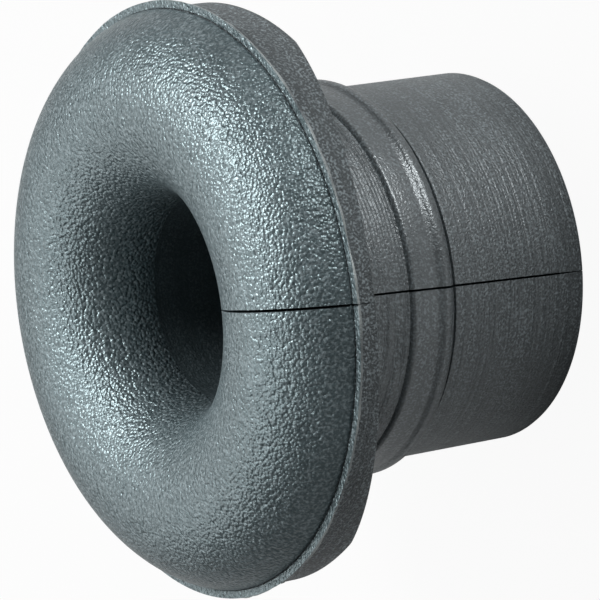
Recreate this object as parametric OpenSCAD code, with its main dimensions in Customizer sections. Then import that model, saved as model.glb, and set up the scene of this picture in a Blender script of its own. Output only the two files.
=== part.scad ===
// Split nylon grommet: a bell-mouthed flange, a panel groove and a beaded sleeve, moulded in one piece.
// Millimetres. Z is the bore axis, the sleeve end stands on Z = 0 and the flange is on top.

/* [Bore] */
// Diameter of the straight bore
bore_d = 7; // [4:0.1:9]
// Chamfer where the bore leaves the sleeve end
bore_chamfer = 0.2; // [0.05:0.05:0.4]

/* [Flange] */
// Diameter of the rim below the parting ledge
rim_d = 19.8; // [18:0.1:24]
// Height of the rim from its back to the parting ledge
rim_h = 2; // [1.6:0.05:2.4]
// Diameter of the ring along the crown of the bell mouth
crown_d = 13.4; // [12.8:0.1:14.4]
// Height of the crown over the parting ledge
crown_h = 2.33; // [1.8:0.01:2.8]
// Bevel along the back edge of the rim
rim_bevel = 0.12; // [0.05:0.01:0.3]

/* [Parting ledge] */
// How far the ledge stands out over the rim
ledge_out = 0.28; // [0.05:0.01:0.4]
// Width of the flat top of the ledge around the bell mouth
ledge_w = 0.32; // [0.1:0.01:0.5]
// Height of the lip where the bell mouth stands on the ledge
lip_h = 0.1; // [0.04:0.01:0.3]
// Height of the ledge's outer edge
ledge_edge = 0.08; // [0.04:0.01:0.15]
// Height of the ledge's foot against the rim
ledge_foot = 0.2; // [0.16:0.01:0.4]

/* [Rim relief] */
// Rim height left at the slit, below the parting ledge
relief_rim_h = 0.86; // [0.6:0.01:1.4]
// Slope of the relief across the back of the flange, in degrees
relief_slope = 14; // [6:0.5:18]

/* [Panel groove] */
// How far the neck lies below the outside of the sleeve
neck_depth = 0.1; // [0.05:0.01:0.25]
// Width of the groove between the flange and the bead
groove_w = 2.6; // [1.6:0.05:4]
// Fillet in the corner between the neck and the bead
groove_fillet = 0.04; // [0.02:0.01:0.1]

/* [Bead] */
// Width of the snap bead along the axis
bead_w = 1.95; // [1.5:0.05:2.6]
// Height of the crest over the outside of the sleeve
bead_h = 0.38; // [0.2:0.01:0.6]
// Height of the bead's corner on the groove side over the outside of the sleeve
bead_corner_h = 0.16; // [0.05:0.01:0.2]
// Radius of the rounded crest
crest_r = 0.45; // [0.35:0.01:0.6]
// Rounding of the corner of the bead on the groove side
bead_round = 0.19; // [0.05:0.01:0.25]
// Steepness of the bead's flank on the sleeve side, in degrees
flank_slope = 52.5; // [30:7.5:67.5]

/* [Sleeve] */
// Outside diameter of the sleeve
sleeve_d = 13; // [11:0.1:14]
// Length of the sleeve from its end to the bead
sleeve_len = 5.3; // [3:0.1:12]
// Chamfer around the sleeve end
sleeve_chamfer = 0.15; // [0.05:0.01:0.4]

/* [Slit] */
// Width of the cut that lets the grommet open over a cable
slit_w = 0.1; // [0.06:0.01:0.4]
// Lean of the cut against the bore axis, in degrees
slit_lean = 2.15; // [0:0.05:6]

/* [Hidden] */
$fn = 96;
facet = 360 / $fn;

// Half sizes of the turned section
bore_r = bore_d / 2;
rim_r = rim_d / 2;
crown_r = crown_d / 2;
sleeve_r = sleeve_d / 2;
neck_r = sleeve_r - neck_depth;
bead_r = sleeve_r + bead_h;
bead_corner_r = sleeve_r + bead_corner_h;
ledge_r = rim_r + ledge_out;
face_r = ledge_r - ledge_w;

// Middle of the wall, where the joined sections overlap
root_r = (bore_r + neck_r) / 2;

// Heights up the axis
bead_top = sleeve_len + bead_w;
rim_back = bead_top + groove_w;
parting = rim_back + rim_h;
crown_top = parting + crown_h;

// The outer arc runs from the crown to the lip, the inner arc from the crown to the bore
face_drop = crown_h - lip_h;
outer_arc_r = (pow(face_r - crown_r, 2) + pow(face_drop, 2)) / (2 * face_drop);
inner_arc_r = crown_r - bore_r;
throat = crown_top - inner_arc_r;

// The step from the neck to the bead's corner holds the fillet at its foot and the rounding at its top
step_h = bead_corner_r - neck_r;
fillet_r = min(groove_fillet, 0.2 * step_h);
round_r = min(bead_round, 0.75 * step_h);

// The flank rises from the sleeve and touches the crest circle
crest_centre_r = bead_r - crest_r;
flank_end_r = crest_centre_r + crest_r * cos(flank_slope);
flank_end_z = sleeve_len + (flank_end_r - sleeve_r) / tan(flank_slope);
crest_z = flank_end_z + crest_r * sin(flank_slope);

// The bead's land runs from its rounded corner to the crest, meeting it at the facet corner by its tangent
land_dr = bead_corner_r - crest_centre_r;
land_dz = bead_top - round_r - crest_z;
land_touch = atan2(land_dz, land_dr) - acos(crest_r / norm([land_dr, land_dz]));
land_angle = facet * ceil(land_touch / facet);
land_end_r = crest_centre_r + crest_r * cos(land_angle);
land_end_z = crest_z + crest_r * sin(land_angle);

// How far the tube reaches out under the face of the bell mouth, to join it
lap = 0.6;

// How far the cutting shapes reach past the faces that they cut
over = 1;

module sleeve_section() {
    polygon([
        [bore_r + bore_chamfer, 0],
        [sleeve_r - sleeve_chamfer, 0],
        [sleeve_r, sleeve_chamfer],
        [sleeve_r, sleeve_len],
        [neck_r, crest_z],
        [neck_r, throat],
        [bore_r, throat],
        [bore_r, bore_chamfer]
    ]);
}

module bead_section() {
    translate([crest_centre_r, crest_z])
        circle(r = crest_r);
    polygon([
        [root_r, sleeve_len],
        [sleeve_r, sleeve_len],
        [flank_end_r, flank_end_z],
        [crest_centre_r, crest_z],
        [land_end_r, land_end_z],
        [bead_corner_r, bead_top - round_r],
        [bead_corner_r - round_r, bead_top],
        [root_r, bead_top]
    ]);
    translate([bead_corner_r - round_r, bead_top - round_r])
        circle(r = round_r);
    difference() {
        translate([root_r, crest_z])
            square([neck_r + fillet_r - root_r, bead_top + fillet_r - crest_z]);
        translate([neck_r + fillet_r, bead_top + fillet_r])
            circle(r = fillet_r);
    }
}

// Inner arc of the bell mouth, from the crown down into the bore, and the lap under the outer arc
module throat_section() {
    intersection() {
        translate([crown_r, throat])
            circle(r = inner_arc_r);
        translate([0, throat])
            square([crown_r, inner_arc_r + over]);
    }
    polygon([
        [crown_r - lap, throat],
        [crown_r + lap, throat],
        [crown_r + lap, crown_top - lap],
        [crown_r, crown_top],
        [crown_r - lap, crown_top - lap]
    ]);
}

// Outer arc of the bell mouth, from the crown out to its lip
module face_section() {
    intersection() {
        translate([crown_r, crown_top - outer_arc_r])
            circle(r = outer_arc_r);
        translate([crown_r, parting])
            square([face_r - crown_r, crown_h + over]);
    }
}

module rim_section() {
    polygon([
        [root_r, rim_back],
        [rim_r - rim_bevel, rim_back],
        [rim_r, rim_back + rim_bevel],
        [rim_r, parting],
        [root_r, parting]
    ]);
}

module ledge_section() {
    polygon([
        [crown_r, parting - ledge_foot],
        [rim_r, parting - ledge_foot],
        [ledge_r, parting - ledge_edge],
        [ledge_r, parting],
        [crown_r, parting]
    ]);
}

// A section turned round the axis, with its seam on the side away from the slit
module turned() {
    rotate([0, 0, 180])
        rotate_extrude()
            children();
}

// Slanting relief across the back of the flange, deepest at the slit
module relief() {
    translate([rim_r, 0, parting - relief_rim_h])
        rotate([0, -relief_slope, 0])
            translate([-2 * rim_r, -2 * rim_r, -rim_h - over])
                cube([3 * rim_r, 4 * rim_r, rim_h + over]);
}

// The tube inside the crown: sleeve, bead and throat
module tube() {
    turned()
        union() {
            sleeve_section();
            bead_section();
            throat_section();
        }
}

// The flange outside the crown: bell-mouth face, rim and parting ledge
module flange() {
    turned()
        face_section();
    difference() {
        turned()
            rim_section();
        relief();
    }
    turned()
        ledge_section();
}

// The knife cut meets the axis at the crown and leans away from it towards the sleeve end
module slit() {
    translate([0, 0, crown_top])
        rotate([-slit_lean, 0, 0])
            translate([0, -slit_w / 2, -crown_top - over])
                cube([ledge_r + over, slit_w, crown_top + 2 * over]);
}

module grommet() {
    color([0.16, 0.18, 0.19]) {
        difference() {
            tube();
            slit();
        }
        difference() {
            flange();
            slit();
        }
    }
}

grommet();
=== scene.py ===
"""Split nylon grommet: the moulded body with its grain, turning marks and ledge, and a plain stage."""

import math
from typing import NamedTuple

import bmesh
import bpy
from bpy.props import FloatProperty, FloatVectorProperty, IntProperty, PointerProperty
from mathutils import Matrix, Vector, noise


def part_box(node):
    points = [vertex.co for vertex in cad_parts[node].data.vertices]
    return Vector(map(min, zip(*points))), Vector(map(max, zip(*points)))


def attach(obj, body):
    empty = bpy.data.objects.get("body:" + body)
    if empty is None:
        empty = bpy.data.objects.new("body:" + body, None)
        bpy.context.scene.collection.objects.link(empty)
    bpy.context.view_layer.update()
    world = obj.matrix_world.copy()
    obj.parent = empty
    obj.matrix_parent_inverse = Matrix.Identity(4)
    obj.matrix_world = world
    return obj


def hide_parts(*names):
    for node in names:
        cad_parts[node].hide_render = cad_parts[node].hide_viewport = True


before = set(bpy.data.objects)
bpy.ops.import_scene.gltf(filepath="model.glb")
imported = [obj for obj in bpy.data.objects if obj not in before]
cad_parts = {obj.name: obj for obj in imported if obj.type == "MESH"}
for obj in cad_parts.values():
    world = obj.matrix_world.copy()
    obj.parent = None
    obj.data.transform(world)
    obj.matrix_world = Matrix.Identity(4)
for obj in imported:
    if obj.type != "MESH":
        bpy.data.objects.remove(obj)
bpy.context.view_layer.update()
BODY_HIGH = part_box("grommet")[1]

bl_info = {
    "name": "Split Nylon Grommet",
    "version": (1, 0, 0),
    "blender": (4, 5, 0),
    "location": "3D View > Sidebar > Grommet",
    "description": "Builds a split nylon panel grommet with a grained bell mouth and a turned neck",
    "category": "Add Mesh",
}

MM = 0.001

# Points closer than this count as one, in metres
MERGE = 1e-7

# Facets along the arcs of the section, and points along the neck for each turning mark
BELL_FACETS = 24
CORNER_FACETS = 8
LAND_FACETS = 12
CREST_FACETS = 14
POINTS_PER_MARK = 4

# A softened corner's middle point lies this share of its legs away from the sharp corner
SOFTENING = 0.3

# The section is spun through a part of the turn, which is then doubled this many times
DOUBLINGS = 3

# Edges that bend more than this show as edges
SHARP_ANGLE = math.radians(38)

# Waves of the flash along the parting ledge: height, fineness around the axis and seed
EDGE_WAVES = ((0.18, 9.0, 3.1), (0.10, 31.0, 7.7))
TOP_WAVES = ((0.25, 14.0, 5.3), (0.15, 47.0, 1.9))

# Place and width of the nick in the ledge, around the axis from the slit
NICK_AT = math.radians(10.5)
NICK_WIDTH = math.radians(3.0)

# How far the slit stands open, as a share of its width
SLEEVE_GAPE = 0.75
FACE_GAPE = 0.9
RIM_GAPE = 0.25
LEAST_GAPE = 0.1

# Surface finishes, in the order of the material slots
FINISHES = ("bell mouth", "rim", "sleeve", "bead", "ledge", "bore")

# Values between which noise mostly lies
NOISE_LOW, NOISE_HIGH = 0.3, 0.7

# Noise values between which a speck fades in
SPECK_LOW, SPECK_HIGH = 0.42, 0.72

# Fineness of the noise, per metre: lines around the axis, matte grain, specks, slow drift of the colour
LINE_SCALE = 7000.0
MATTE_SCALE = 13000.0
SPECK_SCALE = 12000.0
DRIFT_SCALE = 400.0

# The lines are drawn out around the axis by shrinking their noise across it
LINE_STRETCH = (0.02, 0.02, 1.0)

# Least share of the specks that is left between the lines
LEAST_STREAK = 0.5

# Roundness of the pebbles, and the fineness of the swell under them as a share of theirs
PEBBLE_SMOOTHNESS = 0.3
SWELL_SHARE = 0.6

# The nylon's colour drifts between these shares of itself; in the bore and on the walls of the slit its
# darker end is this share, as painted shade
DARKER, LIGHTER = 0.85, 1.15
BORE_SHADE = 0.6

# The roughness drifts this much up and down
ROUGHNESS_DRIFT = 0.05

# Sockets of a colour Mix node
MIX_SHARE, MIX_FIRST, MIX_SECOND, MIX_RESULT = 0, 6, 7, 2

# Share of plain white that the floor shows to the camera; the rest keeps the shadow
FLOOR_WHITE = 0.94

# Half the side of the floor, the distance of the lamps and the strength of the room light
FLOOR_REACH = 2.0
LAMP_DISTANCE = 0.15
ROOM_LIGHT = 0.15


def length(name, description, default):
    """A length property that is written in millimetres."""
    return FloatProperty(
        name=name, description=description, default=default * MM, min=0.0, precision=5, unit="LENGTH"
    )


def angle(name, description, default):
    """An angle property that is written in degrees."""
    return FloatProperty(name=name, description=description, default=math.radians(default), subtype="ANGLE")


def colour(name, description, default):
    """A linear colour property."""
    return FloatVectorProperty(
        name=name, description=description, default=default, size=3, min=0.0, max=1.0, subtype="COLOR"
    )


class GrommetSizes(bpy.types.PropertyGroup):
    """Sizes of the moulded section, with the fine forms of the neck, bead and ledge"""

    bore_d: length("Bore", "Diameter of the straight bore", 7.0)
    bore_chamfer: length("Bore Chamfer", "Chamfer where the bore leaves the sleeve end", 0.2)
    ledge_out: length("Ledge Overhang", "How far the parting ledge stands out over the rim", 0.28)
    ledge_w: length("Ledge Width", "Width of the flat top of the parting ledge", 0.32)
    ledge_edge: length("Ledge Edge", "Height of the ledge's outer edge", 0.08)
    ledge_foot: length("Ledge Foot", "Height of the ledge's foot against the rim", 0.2)
    lip_h: length("Lip", "Height of the lip where the bell mouth stands on the ledge", 0.1)
    lip_groove: length("Lip Groove", "Depth of the fine groove along the lip", 0.05)
    rim_h: length("Rim Height", "Height of the rim from its back to the parting ledge", 2.0)
    rim_bevel: length("Rim Bevel", "Bevel along the back edge of the rim", 0.12)
    crown_d: length("Crown Ring", "Diameter of the ring along the crown of the bell mouth", 13.4)
    crown_h: length("Crown Height", "Height of the crown over the parting ledge", 2.33)
    relief_rim_h: length("Relief Rim", "Rim height left at the slit", 0.86)
    relief_slope: angle("Relief Slope", "Slope of the relief across the back of the flange", 14.0)
    groove_w: length("Groove Width", "Width of the panel groove between the flange and the bead", 2.6)
    neck_depth: length("Neck Depth", "How far the neck lies below the outside of the sleeve", 0.1)
    neck_draft: length("Neck Draft", "How much the neck widens from the flange to the bead", 0.12)
    neck_crease: length("Neck Crease", "Depth of the fine crease where the neck meets the bead", 0.04)
    ramp_slope: angle("Ramp Slope", "Steepness of the ramp from the neck to the bead's corner", 60.0)
    bead_w: length("Bead Width", "Width of the snap bead along the axis", 1.75)
    bead_h: length("Bead Height", "Height of the bead's crest over the sleeve", 0.38)
    bead_corner_h: length("Bead Corner", "Height of the bead's groove-side corner over the sleeve", 0.16)
    bead_round: length("Bead Rounding", "Rounding of the bead's groove-side corner", 0.19)
    land_hollow: length("Land Hollow", "Depth of the hollow between the bead's corner and its crest", 0.05)
    crest_r: length("Crest Radius", "Radius of the bead's rounded crest", 0.36)
    crest_lead: angle("Crest Lead", "Where the bead's land meets the crest, from the crest's top", 32.0)
    flank_slope: angle("Flank Slope", "Steepness of the bead's flank on the sleeve side", 52.5)
    crease: length("Crease", "Depth of the fine crease where the bead meets the sleeve", 0.13)
    sleeve_d: length("Sleeve", "Outside diameter of the sleeve", 13.0)
    sleeve_len: length("Sleeve Length", "Length of the sleeve from its end to the bead", 5.5)
    sleeve_chamfer: length("Sleeve Chamfer", "Chamfer around the sleeve end", 0.15)
    slit_w: length("Slit", "Width of the knife cut along one side", 0.1)
    slit_lean: angle("Slit Lean", "Lean of the knife cut against the bore axis", 2.15)
    turning_pitch: length("Turning Pitch", "Distance between the turning marks on the neck", 0.135)
    turning_depth: length("Turning Depth", "Depth of the turning marks on the neck", 0.03)
    steps: IntProperty(name="Steps", description="Sections around the axis", default=480, min=24)


class GrommetFinish(bpy.types.PropertyGroup):
    """Colours and grain of the nylon"""

    nylon: colour("Nylon", "Colour of the dark nylon", (0.037, 0.051, 0.056))
    # The rear nylon is a lighter, more neutral copy of the bell mouth's nylon; part of that lightness is
    # painted light that evens out the weaker light on the rim, neck and sleeve.
    rear: colour("Rear Nylon", "Colour of the nylon on the rim, neck and sleeve", (0.062, 0.071, 0.075))
    # On the bell mouth the pale specks are painted glints of the grain; behind it they are scattered pale
    # specks.
    pale: colour("Pale Specks", "Colour of the fine pale specks in the nylon", (0.28, 0.33, 0.35))
    # The flash colour is partly the thin flash's own paleness and partly a painted highlight along the
    # ledge.
    flash: colour("Flash", "Colour of the thin parting ledge where it is palest", (0.44, 0.48, 0.48))
    sheen: colour("Sheen", "Tint of the light that the grain reflects", (0.76, 0.96, 1.0))
    rear_sheen: colour("Rear Sheen", "Tint of the light that the rear reflects", (0.90, 0.97, 1.0))
    grain_size: length("Grain Size", "Distance between the pebbles of the bell mouth's grain", 0.11)
    grain_depth: length("Grain Depth", "Depth of the bell mouth's grain", 0.038)
    fine_depth: length("Fine Depth", "Depth of the fine lines and grain behind the bell mouth", 0.03)


class GrommetStage(bpy.types.PropertyGroup):
    """Camera and floor"""

    distance: length("Distance", "Distance of the camera from its aim", 137.035)
    azimuth: angle("Azimuth", "Direction of the camera around the axis, from the slit", 5.25)
    elevation: angle("Elevation", "Height of the camera over the floor", 33.066)
    roll: angle("Roll", "Turn of the camera about its view, so that the sleeve points to the right", -99.197)
    aim: FloatVectorProperty(
        name="Aim",
        description="Point in the middle of the picture",
        default=(-0.0675 * MM, -0.5766 * MM, 7.315 * MM),
        size=3,
        precision=5,
        subtype="TRANSLATION",
    )
    lens: FloatProperty(name="Lens", description="Focal length of the camera", default=239.61, unit="CAMERA")
    floor: colour("Floor", "Colour of the plain floor", (0.4, 0.4, 0.4))


class Section:
    """Heights and radii that follow from the sizes."""

    def __init__(self, s):
        self.bore_r = s.bore_d / 2
        self.ledge_r = BODY_HIGH.y
        self.rim_r = self.ledge_r - s.ledge_out
        self.face_r = self.ledge_r - s.ledge_w
        self.crown_r = s.crown_d / 2
        self.sleeve_r = s.sleeve_d / 2
        self.neck_r = self.sleeve_r - s.neck_depth
        self.corner_r = self.sleeve_r + s.bead_corner_h
        self.bead_top = s.sleeve_len + s.bead_w
        self.rim_back = self.bead_top + s.groove_w
        self.parting = self.rim_back + s.rim_h
        self.crown_top = self.parting + s.crown_h
        # Bell mouth: the outer arc runs from the crown to the lip, the inner arc from the crown to the bore
        drop = s.crown_h - s.lip_h
        self.outer_arc = ((self.face_r - self.crown_r) ** 2 + drop ** 2) / (2 * drop)
        self.throat = self.crown_top - (self.crown_r - self.bore_r)
        # Neck and the ramp to the bead's rounded corner
        self.ramp_r = self.corner_r - s.bead_round * (1 - math.cos(s.ramp_slope))
        self.neck_end_r = self.neck_r + s.neck_draft
        self.neck_foot = self.bead_top + (self.ramp_r - self.neck_end_r) / math.tan(s.ramp_slope)
        # Crest, with the flank that touches it, and the bottom and lower edge of the crease at its foot
        self.crest_centre = self.sleeve_r + s.bead_h - s.crest_r
        flank_r = self.crest_centre + s.crest_r * math.cos(s.flank_slope)
        flank_z = s.sleeve_len + (flank_r - self.sleeve_r) / math.tan(s.flank_slope)
        self.crest_z = flank_z + s.crest_r * math.sin(s.flank_slope)
        self.crease_z = s.sleeve_len - 0.6 * s.crease
        self.sleeve_top = s.sleeve_len - 0.7 * s.crease


def new_line(bm, pen, r, z, cuts=0):
    """Draw a straight line from the pen to (r, z) in the section, with extra points along it."""
    start, end = pen.co.copy(), Vector((r, 0.0, z))
    for step in range(1, cuts + 2):
        point = bm.verts.new(start.lerp(end, step / (cuts + 1)))
        bm.edges.new((pen, point))
        pen = point
    return pen


def new_soft_corner(bm, pen, corner, end):
    """Take the pen past a corner (r, z) to an end (r, z), through one point just inside the corner."""
    middle_r, middle_z = (
        sharp + SOFTENING * (before - sharp + after - sharp)
        for sharp, before, after in zip(corner, (pen.co.x, pen.co.z), end)
    )
    return new_line(bm, new_line(bm, pen, middle_r, middle_z), *end)


def new_arc(bm, pen, centre, swing, steps):
    """Swing the pen about a centre (r, z) in the section; positive angles turn from +Z towards +X."""
    cent = (centre[0], 0.0, centre[1])
    swung = bmesh.ops.spin(bm, geom=[pen], cent=cent, axis=(0.0, 1.0, 0.0), angle=swing, steps=steps)
    return [v for v in swung["geom_last"] if isinstance(v, bmesh.types.BMVert)][0]


def draw_bell_mouth(bm, pen, s, k):
    """Draw the inner arc up to the crown, the outer arc down to the lip, and the groove along the lip."""
    rounded_off = 0.2 * s.lip_h
    lip_edge = 0.75 * s.lip_h
    undercut = 0.4 * s.lip_groove
    pen = new_arc(bm, pen, (k.crown_r, k.throat), math.pi / 2, BELL_FACETS)
    sweep = math.asin((k.face_r - k.crown_r) / k.outer_arc) - rounded_off / k.outer_arc
    pen = new_arc(bm, pen, (k.crown_r, k.crown_top - k.outer_arc), sweep, BELL_FACETS)
    pen = new_line(bm, pen, k.face_r, k.parting + lip_edge)
    pen = new_line(bm, pen, k.face_r - undercut, k.parting)
    return new_line(bm, pen, k.face_r, k.parting - s.lip_groove)


def draw_ledge_and_rim(bm, pen, s, k):
    """Draw the flat ledge with its soft edge, its underside and the rim down to its softened back edge."""
    groove_w = 0.8 * s.lip_groove
    edge = 0.4 * s.ledge_edge
    pen = new_line(bm, pen, k.face_r + groove_w, k.parting)
    pen = new_line(bm, pen, k.ledge_r - edge, k.parting, cuts=2)
    pen = new_soft_corner(bm, pen, (k.ledge_r, k.parting), (k.ledge_r, k.parting - edge))
    pen = new_line(bm, pen, k.ledge_r, k.parting - s.ledge_edge)
    pen = new_line(bm, pen, k.rim_r, k.parting - s.ledge_foot, cuts=1)
    pen = new_line(bm, pen, k.rim_r, k.rim_back + s.rim_bevel, cuts=3)
    return new_soft_corner(bm, pen, (k.rim_r, k.rim_back), (k.rim_r - s.rim_bevel, k.rim_back))


def draw_neck(bm, pen, s, k):
    """Draw the back of the flange and the neck, with points for its turning marks, down to its crease."""
    pen = new_line(bm, pen, k.neck_r + s.rim_bevel, k.rim_back, cuts=3)
    pen = new_line(bm, pen, k.neck_r, k.rim_back - s.rim_bevel)
    marks = round((s.groove_w - s.rim_bevel - s.neck_depth) / s.turning_pitch)
    pen = new_line(bm, pen, k.neck_end_r, k.neck_foot + s.neck_crease, cuts=marks * POINTS_PER_MARK - 1)
    return new_line(bm, pen, k.neck_end_r - s.neck_crease, k.neck_foot)


def draw_bead(bm, pen, s, k):
    """Draw the ramp and rounded corner, the land, the crest and the flank down to the crease at its foot."""
    pen = new_line(bm, pen, k.ramp_r, k.bead_top)
    corner = (k.corner_r - s.bead_round, k.bead_top - s.bead_round * math.sin(s.ramp_slope))
    pen = new_arc(bm, pen, corner, s.ramp_slope, CORNER_FACETS)
    land_start = pen.co.copy()
    land_end_r = k.crest_centre + s.crest_r * math.cos(s.crest_lead)
    land_end = Vector((land_end_r, 0.0, k.crest_z + s.crest_r * math.sin(s.crest_lead)))
    for step in range(1, LAND_FACETS + 1):
        along = step / LAND_FACETS
        point = land_start.lerp(land_end, along)
        # The cube moves the hollow towards the crest
        hollow = s.land_hollow * math.sin(math.pi * along ** 3)
        pen = new_line(bm, pen, point.x - hollow, point.z)
    pen = new_arc(bm, pen, (k.crest_centre, k.crest_z), s.crest_lead + s.flank_slope, CREST_FACETS)
    pen = new_line(bm, pen, k.sleeve_r - s.crease, k.crease_z, cuts=1)
    return new_line(bm, pen, k.sleeve_r, k.sleeve_top)


def draw_sleeve(bm, pen, s, k):
    """Draw the sleeve down to its softened end, and the end in to the bore's chamfer."""
    pen = new_line(bm, pen, k.sleeve_r, s.sleeve_chamfer, cuts=3)
    pen = new_soft_corner(bm, pen, (k.sleeve_r, 0.0), (k.sleeve_r - s.sleeve_chamfer, 0.0))
    return new_line(bm, pen, k.bore_r + s.bore_chamfer, 0.0, cuts=2)


def draw_section(bm, s, k):
    """Draw the closed section in the XZ plane, from the bore over the bell mouth to the sleeve end."""
    start = bm.verts.new((k.bore_r, 0.0, s.bore_chamfer))
    pen = new_line(bm, start, k.bore_r, k.throat, cuts=3)
    for draw in (draw_bell_mouth, draw_ledge_and_rim, draw_neck, draw_bead, draw_sleeve):
        pen = draw(bm, pen, s, k)
    bm.edges.new((pen, start))


def spin_round(bm, whole, steps):
    """Spin the drawn section through a part of the turn, then double what is there until it is whole."""
    parts = 2 ** DOUBLINGS
    turn = whole / parts
    section = bm.verts[:] + bm.edges[:]
    bmesh.ops.spin(bm, geom=section, cent=(0, 0, 0), axis=(0, 0, 1), angle=turn, steps=steps // parts)
    for _ in range(DOUBLINGS):
        copy = bmesh.ops.duplicate(bm, geom=bm.verts[:] + bm.edges[:] + bm.faces[:])
        copied = [v for v in copy["geom"] if isinstance(v, bmesh.types.BMVert)]
        bmesh.ops.rotate(bm, verts=copied, cent=(0, 0, 0), matrix=Matrix.Rotation(turn, 3, "Z"))
        turn *= 2
    bmesh.ops.remove_doubles(bm, verts=bm.verts, dist=MERGE)


def zone(face, s, k):
    """Which finish a face carries, as its place in FINISHES."""
    flash_w = 0.15 * s.ledge_w
    flash_h = 0.6 * s.ledge_foot
    c = face.calc_center_median()
    r = math.hypot(c.x, c.y)
    # The outer edge of the ledge takes the ledge finish, whose pale flash colour is partly a painted
    # highlight.
    if r > k.ledge_r - flash_w and c.z > k.parting - flash_h:
        return FINISHES.index("ledge")
    if c.z > k.parting or (c.z > k.throat and r < k.neck_r):
        return FINISHES.index("bell mouth")
    # The bore and its chamfer take the bore finish, whose nylon is darkened as painted shade.
    if r < k.bore_r + s.bore_chamfer:
        return FINISHES.index("bore")
    if c.z > k.rim_back - s.rim_bevel / 2:
        return FINISHES.index("rim")
    return FINISHES.index("bead" if k.sleeve_top < c.z < k.bead_top else "sleeve")


def cut_aside(v, s, k):
    """How far the leaning cut stands to the side of the axis at a vertex's height."""
    return (k.crown_top - v.co.z) * math.tan(s.slit_lean)


def lean_sections(bm, s, k):
    """Shift the sections round the axis, most at the slit, so that the first and last follow the cut."""
    for v in bm.verts:
        r, around_axis = math.hypot(v.co.x, v.co.y), math.atan2(v.co.y, v.co.x)
        around_axis -= math.asin(cut_aside(v, s, k) / r) * (1 + math.cos(around_axis)) / 2
        v.co.x, v.co.y = r * math.cos(around_axis), r * math.sin(around_axis)


def slope_flange_back(bm, s, k):
    """Lift the back of the flange onto the relief that is deepest at the slit."""
    top = k.parting - s.ledge_foot
    for v in bm.verts:
        r = math.hypot(v.co.x, v.co.y)
        if r < k.neck_r + s.rim_bevel / 2 or not k.rim_back - MERGE <= v.co.z < top:
            continue
        plane = k.parting - s.relief_rim_h - (k.rim_r - v.co.x) * math.tan(s.relief_slope)
        lift = max(0.0, plane - k.rim_back)
        v.co.z += lift * (top - v.co.z) / (top - k.rim_back)


def around(vert, fineness, seed):
    """Smooth noise that follows a vertex's direction around the axis, from -1 to 1."""
    d = Vector((vert.co.x, vert.co.y, 0.0)).normalized()
    return noise.noise(Vector((d.x * fineness + seed, d.y * fineness - seed, seed * 0.37)))


def waves(vert, parts):
    """Sum of smooth waves around the axis, each with its height, fineness and seed."""
    return sum(height * around(vert, fineness, seed) for height, fineness, seed in parts)


def set_radius(v, r, new_r):
    """Move a vertex straight towards or away from the axis."""
    v.co.x *= new_r / r
    v.co.y *= new_r / r


def roughen_ledge(bm, s, k):
    """Give the ledge the uneven edge and waves of thin moulding flash, and the nick beside the slit."""
    mean_trim, nick_trim, most_trim = 0.10, 0.45, 0.60
    mean_drop, nick_drop = 0.10, 0.60
    underside = k.parting - 0.9 * s.ledge_foot
    for v in bm.verts:
        r = math.hypot(v.co.x, v.co.y)
        if not underside < v.co.z <= k.parting or r < k.face_r + s.lip_groove:
            continue
        out = (r - k.face_r) / s.ledge_w
        nick = math.exp(-((math.atan2(v.co.y, v.co.x) - NICK_AT) / NICK_WIDTH) ** 2)
        trim = mean_trim + waves(v, EDGE_WAVES) + nick_trim * nick
        set_radius(v, r, r - s.ledge_w * out * min(most_trim, max(0.0, trim)))
        v.co.z += s.ledge_edge * (waves(v, TOP_WAVES) - mean_drop - nick_drop * nick * out)


def cut_turning_marks(bm, s, k):
    """Sink shallow turning marks of uneven depth into the neck."""
    mean_depth, uneven = 0.75 * s.turning_depth, 0.5 * s.turning_depth
    fineness, seed_step = 4.0, 1.7
    low, high = k.neck_foot + s.neck_crease, k.rim_back - s.rim_bevel
    for v in bm.verts:
        r = math.hypot(v.co.x, v.co.y)
        if not low < v.co.z < high or not k.neck_r - MERGE < r < k.neck_end_r + MERGE:
            continue
        row = (v.co.z - low) / s.turning_pitch
        mark = (1 - math.cos(2 * math.pi * row)) / 2
        set_radius(v, r, r - mark * (mean_depth + uneven * around(v, fineness, round(row) * seed_step)))


def open_slit(bm, s, k):
    """Turn the first and last sections into the walls of the cut, which closes towards bore and rim."""
    opening_h = 4 * s.sleeve_chamfer
    for v in {v for e in bm.edges if e.is_boundary for v in e.verts}:
        r, aside = math.hypot(v.co.x, v.co.y), cut_aside(v, s, k)
        gape = SLEEVE_GAPE * min(1.0, max(LEAST_GAPE, (r - k.bore_r) / (k.neck_r - k.bore_r)))
        if v.co.z >= k.parting - s.relief_rim_h and r > k.neck_r + s.rim_bevel:
            gape = FACE_GAPE if v.co.z > k.parting else RIM_GAPE
        gape *= min(1.0, LEAST_GAPE + v.co.z / opening_h)
        y = math.copysign(gape * s.slit_w / 2, v.co.y + aside) - aside
        v.co.x, v.co.y = math.sqrt(r * r - y * y), y
    walls = bmesh.ops.holes_fill(bm, edges=[e for e in bm.edges if e.is_boundary], sides=0)
    # The walls of the slit take the bore finish, darkened as painted shade.
    for face in walls["faces"]:
        face.material_index = FINISHES.index("bore")


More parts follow.
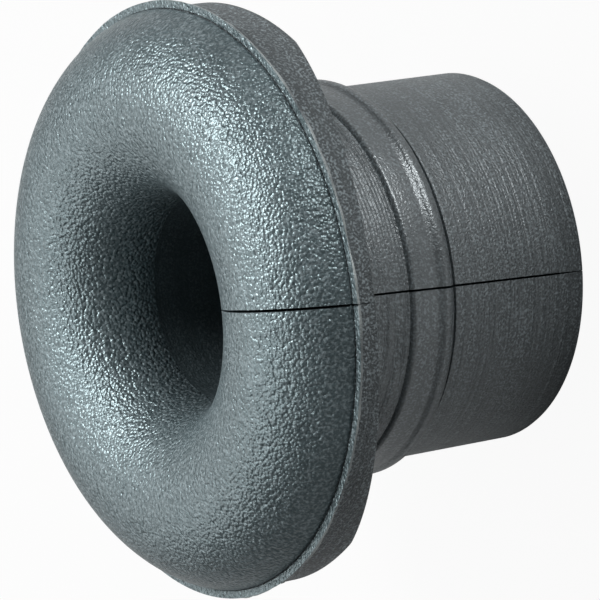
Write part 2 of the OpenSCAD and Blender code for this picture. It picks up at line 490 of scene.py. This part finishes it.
def moulded_mesh(s):
    """Mesh of the whole moulding, with each face's finish."""
    k = Section(s)
    if k.bore_r >= k.neck_r:
        raise ValueError("the bore leaves no wall at the neck")
    bm = bmesh.new()
    draw_section(bm, s, k)
    gap = 2 * math.asin(s.slit_w / 2 / k.ledge_r)
    bmesh.ops.rotate(bm, verts=bm.verts, cent=(0, 0, 0), matrix=Matrix.Rotation(gap / 2, 3, "Z"))
    spin_round(bm, 2 * math.pi - gap, s.steps)
    for face in bm.faces:
        face.material_index = zone(face, s, k)
    for shape in (lean_sections, slope_flange_back, roughen_ledge, cut_turning_marks, open_slit):
        shape(bm, s, k)
    bmesh.ops.recalc_face_normals(bm, faces=bm.faces)
    for face in bm.faces:
        face.smooth = True
    for edge in bm.edges:
        edge.smooth = edge.calc_face_angle(0.0) < SHARP_ANGLE
    mesh = bpy.data.meshes.new("moulded_grommet")
    bm.to_mesh(mesh)
    bm.free()
    return mesh


def add_node(tree, kind, place, **settings):
    """Add a shader node at a column and row of the node editor; settings are the node's own properties."""
    node = tree.nodes.new(kind)
    node.location = (place[0] * 200, place[1] * 160)
    for name, value in settings.items():
        setattr(node, name, value)
    return node


def feed(tree, socket, value):
    """Set a socket to a number, or link another socket to it."""
    if isinstance(value, (int, float)):
        socket.default_value = value
    else:
        tree.links.new(value, socket)


def new_grain_group(name, *values):
    """A shader node group that takes a vector and named values, and gives a height and a mask of specks."""
    tree = bpy.data.node_groups.new(name, "ShaderNodeTree")
    tree.interface.new_socket(name="Vector", in_out="INPUT", socket_type="NodeSocketVector")
    for label in values:
        tree.interface.new_socket(name=label, in_out="INPUT", socket_type="NodeSocketFloat")
    for label in ("Height", "Specks"):
        tree.interface.new_socket(name=label, in_out="OUTPUT", socket_type="NodeSocketFloat")
    return tree, add_node(tree, "NodeGroupInput", (-6, 0)), add_node(tree, "NodeGroupOutput", (6, 0))


def new_material(name):
    """A material with an empty node tree and its output node."""
    material = bpy.data.materials.new(name)
    material.use_nodes = True
    material.node_tree.nodes.clear()
    return material, material.node_tree, add_node(material.node_tree, "ShaderNodeOutputMaterial", (5, 0))


def maths(tree, operation, place, a, b):
    """A Math node on two sockets or numbers."""
    node = add_node(tree, "ShaderNodeMath", place, operation=operation)
    feed(tree, node.inputs[0], a)
    feed(tree, node.inputs[1], b)
    return node.outputs[0]


def noise_texture(tree, place, vector, scale, detail):
    """A noise texture; its scale is a socket or a number."""
    node = add_node(tree, "ShaderNodeTexNoise", place)
    tree.links.new(vector, node.inputs["Vector"])
    feed(tree, node.inputs["Scale"], scale)
    node.inputs["Detail"].default_value = detail
    return node.outputs[0]


def ramp(tree, place, value, low, high):
    """A mask that rises from 0 at the low value to 1 at the high value."""
    node = add_node(tree, "ShaderNodeMapRange", place, interpolation_type="SMOOTHSTEP")
    node.inputs["From Min"].default_value = low
    node.inputs["From Max"].default_value = high
    tree.links.new(value, node.inputs["Value"])
    return node.outputs[0]


def spark_grain_group():
    """Rounded pebbles of a spark-eroded mould face on a slow swell, with a mask of fine specks whose pale
    colour is painted glints of the grain.
    """
    tree, source, result = new_grain_group("Spark Grain", "Scale")
    vector, scale = source.outputs["Vector"], source.outputs["Scale"]
    pebbles = add_node(tree, "ShaderNodeTexVoronoi", (-4, 1), feature="SMOOTH_F1")
    pebbles.inputs["Smoothness"].default_value = PEBBLE_SMOOTHNESS
    tree.links.new(vector, pebbles.inputs["Vector"])
    tree.links.new(scale, pebbles.inputs["Scale"])
    distance = pebbles.outputs["Distance"]
    dome = maths(tree, "SUBTRACT", (-1, 1), 1.0, maths(tree, "MULTIPLY", (-2, 1), distance, distance))
    swell_scale = maths(tree, "MULTIPLY", (-4, -2), scale, SWELL_SHARE)
    swell = noise_texture(tree, (-3, -1), vector, swell_scale, detail=1.0)
    tree.links.new(maths(tree, "ADD", (1, 0), dome, swell), result.inputs["Height"])
    dots = noise_texture(tree, (-3, -3), vector, scale, detail=1.0)
    tree.links.new(ramp(tree, (3, -1), dots, SPECK_LOW, SPECK_HIGH), result.inputs["Specks"])
    return tree


def turning_group():
    """Fine uneven lines that run around the axis, a matte grain over them and a mask of streaked specks."""
    tree, source, result = new_grain_group("Turned Surface", "Lines", "Grain")
    vector = source.outputs["Vector"]
    stretch = add_node(tree, "ShaderNodeMapping", (-4, 1))
    stretch.inputs["Scale"].default_value = LINE_STRETCH
    tree.links.new(vector, stretch.inputs["Vector"])
    lines = noise_texture(tree, (-2, 1), stretch.outputs[0], LINE_SCALE, detail=1.0)
    grain = noise_texture(tree, (-2, -1), vector, MATTE_SCALE, detail=1.0)
    specks = noise_texture(tree, (-2, -3), vector, SPECK_SCALE, detail=0.0)
    line_part = maths(tree, "MULTIPLY", (0, 1), lines, source.outputs["Lines"])
    grain_part = maths(tree, "MULTIPLY", (0, -1), grain, source.outputs["Grain"])
    tree.links.new(maths(tree, "ADD", (2, 0), line_part, grain_part), result.inputs["Height"])
    streak = maths(tree, "ADD", (1, -3), ramp(tree, (0, -3), lines, NOISE_LOW, NOISE_HIGH), LEAST_STREAK)
    dots = ramp(tree, (2, -2), specks, SPECK_LOW, SPECK_HIGH)
    tree.links.new(maths(tree, "MULTIPLY", (3, -2), dots, streak), result.inputs["Specks"])
    return tree


class NylonFinish(NamedTuple):
    """Look of one zone: its dark, light and speck colours, its reflection, its grain and its specks."""

    colours: tuple
    sheen: tuple
    roughness: float
    ior: float
    gloss: float
    group: bpy.types.NodeTree
    values: dict
    bump: float
    specks: float


def nylon_material(name, look):
    """Dark nylon whose bump and specks come from a shared grain group, and whose colour drifts a little."""
    material, tree, out = new_material(name)
    shader = add_node(tree, "ShaderNodeBsdfPrincipled", (3, 0))
    shader.inputs["IOR"].default_value = look.ior
    shader.inputs["Specular IOR Level"].default_value = look.gloss
    shader.inputs["Specular Tint"].default_value = (*look.sheen, 1.0)
    tree.links.new(shader.outputs[0], out.inputs["Surface"])
    place = add_node(tree, "ShaderNodeTexCoord", (-5, 0)).outputs["Object"]

    grain = add_node(tree, "ShaderNodeGroup", (-3, -1), node_tree=look.group)
    for label, value in look.values.items():
        grain.inputs[label].default_value = value
    tree.links.new(place, grain.inputs["Vector"])
    bump = add_node(tree, "ShaderNodeBump", (0, -2))
    bump.inputs["Strength"].default_value = 1.0
    bump.inputs["Distance"].default_value = look.bump
    tree.links.new(grain.outputs["Height"], bump.inputs["Height"])
    tree.links.new(bump.outputs["Normal"], shader.inputs["Normal"])

    drift = noise_texture(tree, (-3, 2), place, DRIFT_SCALE, detail=4.0)
    dark, light, speck = look.colours
    tint = add_node(tree, "ShaderNodeValToRGB", (-1, 2))
    for stop, position, tone in zip(tint.color_ramp.elements, (NOISE_LOW, NOISE_HIGH), (dark, light)):
        stop.position = position
        stop.color = (*tone, 1.0)
    tree.links.new(drift, tint.inputs[0])
    # The pale specks are mixed into the base colour; on the bell mouth they are painted glints.
    mix = add_node(tree, "ShaderNodeMix", (1, 2), data_type="RGBA")
    share = maths(tree, "MULTIPLY", (-1, 1), grain.outputs["Specks"], look.specks)
    tree.links.new(share, mix.inputs[MIX_SHARE])
    tree.links.new(tint.outputs[0], mix.inputs[MIX_FIRST])
    mix.inputs[MIX_SECOND].default_value = (*speck, 1.0)
    tree.links.new(mix.outputs[MIX_RESULT], shader.inputs["Base Color"])

    rough = add_node(tree, "ShaderNodeMapRange", (0, 0))
    rough.inputs["To Min"].default_value = look.roughness - ROUGHNESS_DRIFT
    rough.inputs["To Max"].default_value = look.roughness + ROUGHNESS_DRIFT
    tree.links.new(drift, rough.inputs["Value"])
    tree.links.new(rough.outputs[0], shader.inputs["Roughness"])
    return material


def scaled(tone, share):
    """A colour made darker or lighter."""
    return tuple(channel * share for channel in tone)


def nylon_finishes(f):
    """The look of each zone of the moulding, by its name in FINISHES."""
    pale, sheen, rear_sheen = tuple(f.pale), tuple(f.sheen), tuple(f.rear_sheen)
    face = (scaled(f.nylon, DARKER), scaled(f.nylon, LIGHTER), pale)
    # The rim, neck and sleeve take the lighter rear nylon, partly painted light for the weaker light there.
    rear = (scaled(f.rear, DARKER), scaled(f.rear, LIGHTER), pale)
    # The ledge drifts from the rear nylon to the flash colour, which is partly a painted highlight.
    ledge = (tuple(f.rear), tuple(f.flash), pale)
    # The bore's nylon is darkened as painted shade, for the bore and the slit's walls.
    bore = (scaled(f.nylon, BORE_SHADE), tuple(f.nylon), pale)
    turned = turning_group()

    def turned_look(colours, roughness, ior, gloss, lines, grain, specks, tint=rear_sheen):
        values = {"Lines": lines, "Grain": grain}
        return NylonFinish(colours, tint, roughness, ior, gloss, turned, values, f.fine_depth, specks)

    return {
        # On the bell mouth the pale specks are painted glints of the grain.
        "bell mouth": NylonFinish(
            colours=face,
            sheen=sheen,
            roughness=0.32,
            ior=1.60,
            gloss=1.0,
            group=spark_grain_group(),
            values={"Scale": 1.0 / f.grain_size},
            bump=f.grain_depth,
            specks=0.38,
        ),
        "rim": turned_look(rear, roughness=0.55, ior=1.50, gloss=0.5, lines=0.2, grain=2.2, specks=0.48),
        "sleeve": turned_look(rear, roughness=0.42, ior=1.65, gloss=1.0, lines=1.8, grain=1.1, specks=0.38),
        "bead": turned_look(rear, roughness=0.33, ior=1.65, gloss=1.0, lines=0.3, grain=0.6, specks=0.32),
        "ledge": turned_look(ledge, roughness=0.45, ior=1.50, gloss=0.7, lines=0.0, grain=1.0, specks=0.2),
        "bore": turned_look(
            bore, roughness=0.55, ior=1.50, gloss=0.5, lines=0.3, grain=0.6, specks=0.1, tint=sheen
        ),
    }


class GROMMET_OT_moulding(bpy.types.Operator):
    """Spin the moulded section, slope the back of the flange, open the slit and give each zone its finish"""

    bl_idname = "grommet.moulding"
    bl_label = "Moulded Grommet"
    bl_options = {"REGISTER", "UNDO"}

    def execute(self, context):
        mesh = moulded_mesh(context.scene.grommet_sizes)
        looks = nylon_finishes(context.scene.grommet_finish)
        for name in FINISHES:
            mesh.materials.append(nylon_material(name + " nylon", looks[name]))
        body = bpy.data.objects.new("moulded_grommet", mesh)
        context.scene.collection.objects.link(body)
        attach(body, "root")
        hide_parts("grommet")
        return {"FINISHED"}


class Lamp(NamedTuple):
    """A soft rectangular lamp: its direction from the grommet, its size across and along Y, its power."""

    name: str
    direction: tuple
    size: tuple
    watts: float


LAMPS = (
    Lamp("key light", direction=(-0.20, 0.50, 0.84), size=(0.05, 0.07), watts=0.24),
    Lamp("overhead fill", direction=(-0.11, -0.24, 0.97), size=(0.06, 0.08), watts=0.075),
    Lamp("back fill", direction=(-0.74, -0.08, 0.58), size=(0.10, 0.20), watts=0.09),
    Lamp("low side light", direction=(0.68, 0.73, 0.06), size=(0.025, 0.05), watts=0.10),
)


def floor_material(floor_colour):
    """A pale floor that shows white to the camera and keeps a faint shadow."""
    material, tree, out = new_material("pale floor")
    matte = add_node(tree, "ShaderNodeBsdfDiffuse", (0, 1))
    matte.inputs["Color"].default_value = (*floor_colour, 1.0)
    white = add_node(tree, "ShaderNodeEmission", (0, -1))
    white.inputs["Color"].default_value = (1.0, 1.0, 1.0, 1.0)
    white.inputs["Strength"].default_value = 1.0
    path = add_node(tree, "ShaderNodeLightPath", (-4, 0))
    mix = add_node(tree, "ShaderNodeMixShader", (2, 0))
    share = maths(tree, "MULTIPLY", (-1, 0), path.outputs["Is Camera Ray"], FLOOR_WHITE)
    tree.links.new(share, mix.inputs[0])
    tree.links.new(matte.outputs[0], mix.inputs[1])
    tree.links.new(white.outputs[0], mix.inputs[2])
    tree.links.new(mix.outputs[0], out.inputs["Surface"])
    return material


def add_floor(scene, floor_colour):
    """Lay the plain floor that the grommet stands on."""
    bm = bmesh.new()
    bmesh.ops.create_grid(bm, x_segments=1, y_segments=1, size=FLOOR_REACH)
    mesh = bpy.data.meshes.new("floor")
    bm.to_mesh(mesh)
    bm.free()
    mesh.materials.append(floor_material(floor_colour))
    floor = bpy.data.objects.new("floor", mesh)
    scene.collection.objects.link(floor)


def add_lamp(scene, lamp):
    """Hang a lamp so that it faces the middle of the grommet."""
    data = bpy.data.lights.new(lamp.name, "AREA")
    data.shape = "RECTANGLE"
    data.size, data.size_y = lamp.size
    data.energy = lamp.watts
    hung = bpy.data.objects.new(lamp.name, data)
    scene.collection.objects.link(hung)
    back = Vector(lamp.direction).normalized()
    along = Vector((0.0, 1.0, 0.0))
    along = (along - back * along.dot(back)).normalized()
    turn = Matrix((along.cross(back), along, back)).transposed().to_4x4()
    middle = Vector((0.0, 0.0, BODY_HIGH.z / 2))
    hung.matrix_world = Matrix.Translation(middle + back * LAMP_DISTANCE) @ turn


def add_room_light(scene):
    """Fill the room with plain white light."""
    world = bpy.data.worlds.new("room light")
    world.use_nodes = True
    background = world.node_tree.nodes["Background"]
    background.inputs["Color"].default_value = (1.0, 1.0, 1.0, 1.0)
    background.inputs["Strength"].default_value = ROOM_LIGHT
    scene.world = world


def add_camera(scene, st):
    """Set the camera on its aim, turned so that the sleeve points to the right."""
    data = bpy.data.cameras.new("camera")
    data.sensor_width = 36.0
    data.lens = st.lens
    data.clip_start = 0.01
    data.clip_end = 20.0
    camera = bpy.data.objects.new("camera", data)
    scene.collection.objects.link(camera)
    level = math.cos(st.elevation)
    back = Vector((level * math.cos(st.azimuth), level * math.sin(st.azimuth), math.sin(st.elevation)))
    upright = back.to_track_quat("Z", "Y").to_matrix().to_4x4()
    place = Matrix.Translation(Vector(st.aim) + back * st.distance)
    camera.matrix_world = place @ upright @ Matrix.Rotation(st.roll, 4, "Z")
    scene.camera = camera


class GROMMET_OT_stage(bpy.types.Operator):
    """Add the pale floor, the soft lamps, the room light and the camera"""

    bl_idname = "grommet.stage"
    bl_label = "Stage"
    bl_options = {"REGISTER", "UNDO"}

    def execute(self, context):
        scene, st = context.scene, context.scene.grommet_stage
        add_floor(scene, tuple(st.floor))
        for lamp in LAMPS:
            add_lamp(scene, lamp)
        add_room_light(scene)
        scene.view_settings.view_transform = "Standard"
        add_camera(scene, st)
        return {"FINISHED"}


class GROMMET_PT_sidebar(bpy.types.Panel):
    """Sizes, finish and stage of the grommet"""

    bl_label = "Split Nylon Grommet"
    bl_space_type = "VIEW_3D"
    bl_region_type = "UI"
    bl_category = "Grommet"

    def draw(self, context):
        for title, group, operator in (
            ("Moulding", context.scene.grommet_sizes, GROMMET_OT_moulding.bl_idname),
            ("Finish", context.scene.grommet_finish, None),
            ("Stage", context.scene.grommet_stage, GROMMET_OT_stage.bl_idname),
        ):
            column = self.layout.box().column()
            column.label(text=title)
            for name in group.__annotations__:
                column.prop(group, name)
            if operator:
                column.operator(operator)


CLASSES = (
    GrommetSizes,
    GrommetFinish,
    GrommetStage,
    GROMMET_OT_moulding,
    GROMMET_OT_stage,
    GROMMET_PT_sidebar,
)


def register():
    for cls in CLASSES:
        bpy.utils.register_class(cls)
    bpy.types.Scene.grommet_sizes = PointerProperty(type=GrommetSizes)
    bpy.types.Scene.grommet_finish = PointerProperty(type=GrommetFinish)
    bpy.types.Scene.grommet_stage = PointerProperty(type=GrommetStage)


def unregister():
    del bpy.types.Scene.grommet_stage
    del bpy.types.Scene.grommet_finish
    del bpy.types.Scene.grommet_sizes
    for cls in reversed(CLASSES):
        bpy.utils.unregister_class(cls)


def main():
    register()
    bpy.ops.grommet.moulding()
    bpy.ops.grommet.stage()


if __name__ == "__main__":
    main()
